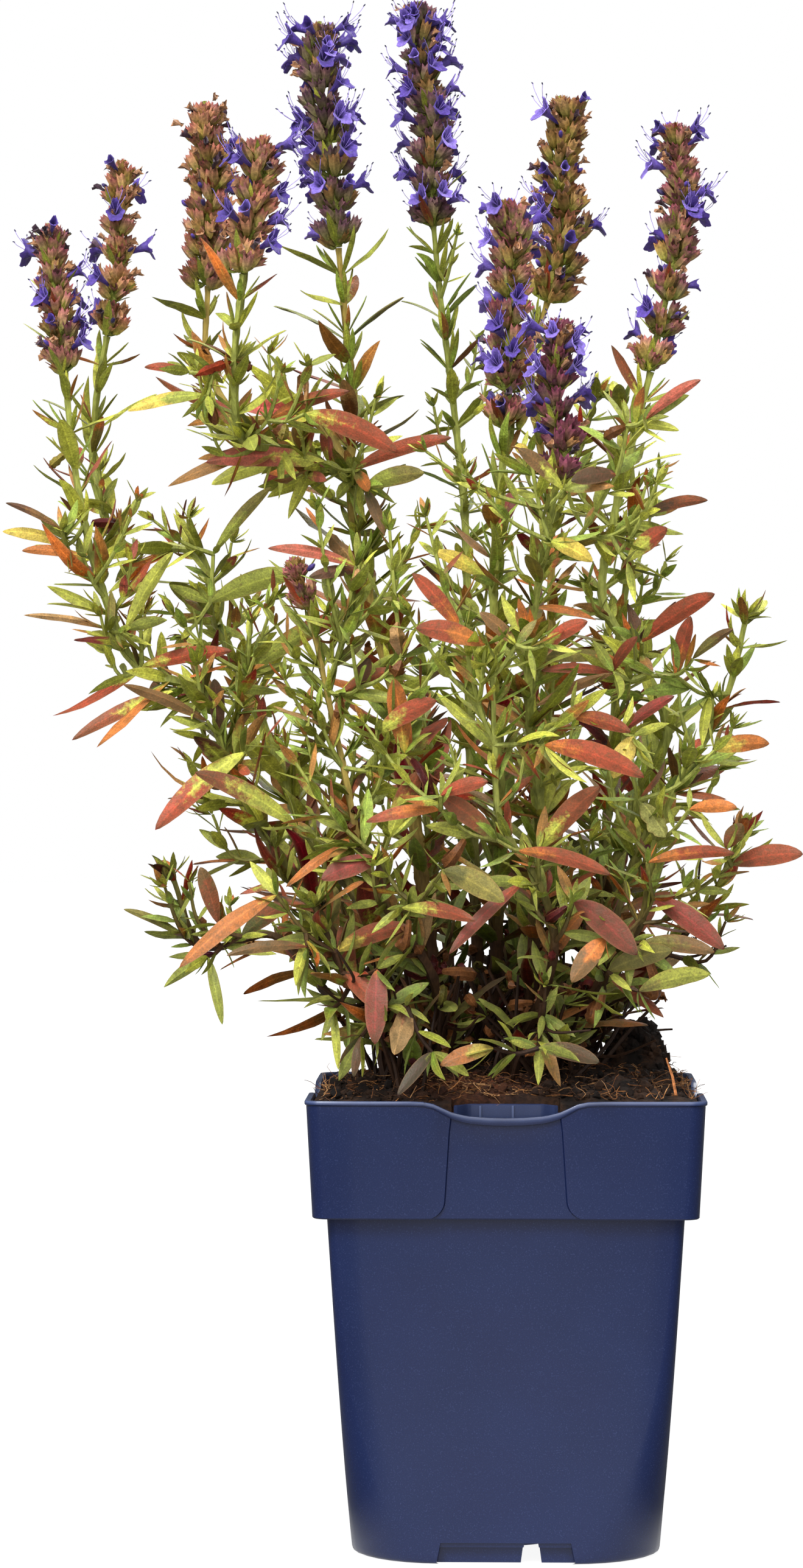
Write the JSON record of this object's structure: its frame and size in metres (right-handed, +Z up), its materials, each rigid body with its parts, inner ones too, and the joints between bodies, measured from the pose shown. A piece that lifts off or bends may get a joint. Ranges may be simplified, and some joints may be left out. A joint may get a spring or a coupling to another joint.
{
  "type": "potted hyssop",
  "caption": "Hyssop plant in flower in a square nursery pot: leafy woody stems with violet flower spikes rising from a soil-filled tapered pot with a stepped collar.",
  "frame": {"origin": "middle of the pot foot, on the flat pad that it stands on", "axes": "+Z up along the pot, -Y out of the front of the pot, +X to the right seen from the front"},
  "size_m": [0.22, 0.1876, 0.4515],
  "materials": {
    "pot_plastic": "matte",
    "peat_soil": "rough",
    "leafy_stems": "satin",
    "flower_heads": "soft"
  },
  "bodies": {
    "root": {"pot": "pot_plastic", "soil": "peat_soil", "spike_brown": "flower_heads", "spike_bud": "flower_heads", "spike_dry": "flower_heads", "spike_far_left": "flower_heads", "spike_left": "flower_heads", "spike_magenta": "flower_heads", "spike_mid_left": "flower_heads", "spike_mid_right": "flower_heads", "spike_right": "flower_heads", "spike_second_brown": "flower_heads", "spike_tallest": "flower_heads", "stem_back_left": "leafy_stems", "stem_back_low_left": "leafy_stems", "stem_back_low_right": "leafy_stems", "stem_back_right": "leafy_stems", "stem_bud": "leafy_stems", "stem_dry": "leafy_stems", "stem_far_left": "leafy_stems", "stem_front_shoot": "leafy_stems", "stem_left": "leafy_stems", "stem_low_front_left": "leafy_stems", "stem_low_front_right": "leafy_stems", "stem_low_left": "leafy_stems", "stem_low_right": "leafy_stems", "stem_magenta": "leafy_stems", "stem_mid_left": "leafy_stems", "stem_mid_right": "leafy_stems", "stem_right": "leafy_stems", "stem_right_second": "leafy_stems", "stem_right_shoot": "leafy_stems", "stem_tallest": "leafy_stems"}
  },
  "joints": []
}
